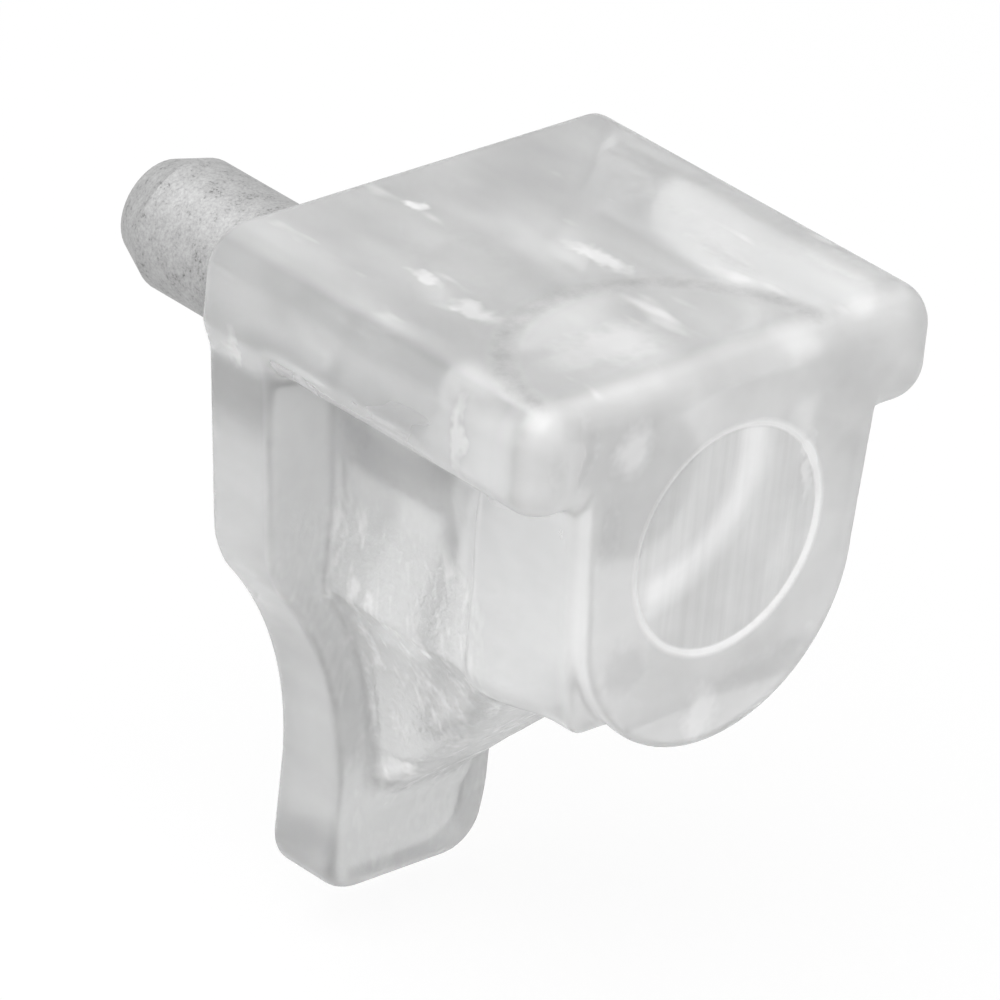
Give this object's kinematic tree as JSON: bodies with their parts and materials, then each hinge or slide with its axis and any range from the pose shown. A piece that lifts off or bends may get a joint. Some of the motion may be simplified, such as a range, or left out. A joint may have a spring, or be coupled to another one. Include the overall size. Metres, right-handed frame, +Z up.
{
  "type": "shelf support pin",
  "caption": "Clear moulded shelf support on a round steel pin, with a flat seat plate, a round-ended boss and a flat leg that braces it against the cabinet's side.",
  "frame": {"origin": "on the pin's axis, in the plane of the cabinet's side panel that the back plate lies against", "axes": "+Y along the pin into the panel, +Z up towards the shelf, +X to the right as seen from the shelf's side"},
  "size_m": [0.0186, 0.0285, 0.026],
  "materials": {
    "clear_plastic": "clear, glossy, faintly hazy moulding",
    "zinc_steel": "dull grey zinc with a fine mottle"
  },
  "bodies": {
    "root": {"clear_seat": "clear_plastic", "steel_pin": "zinc_steel"}
  },
  "joints": []
}
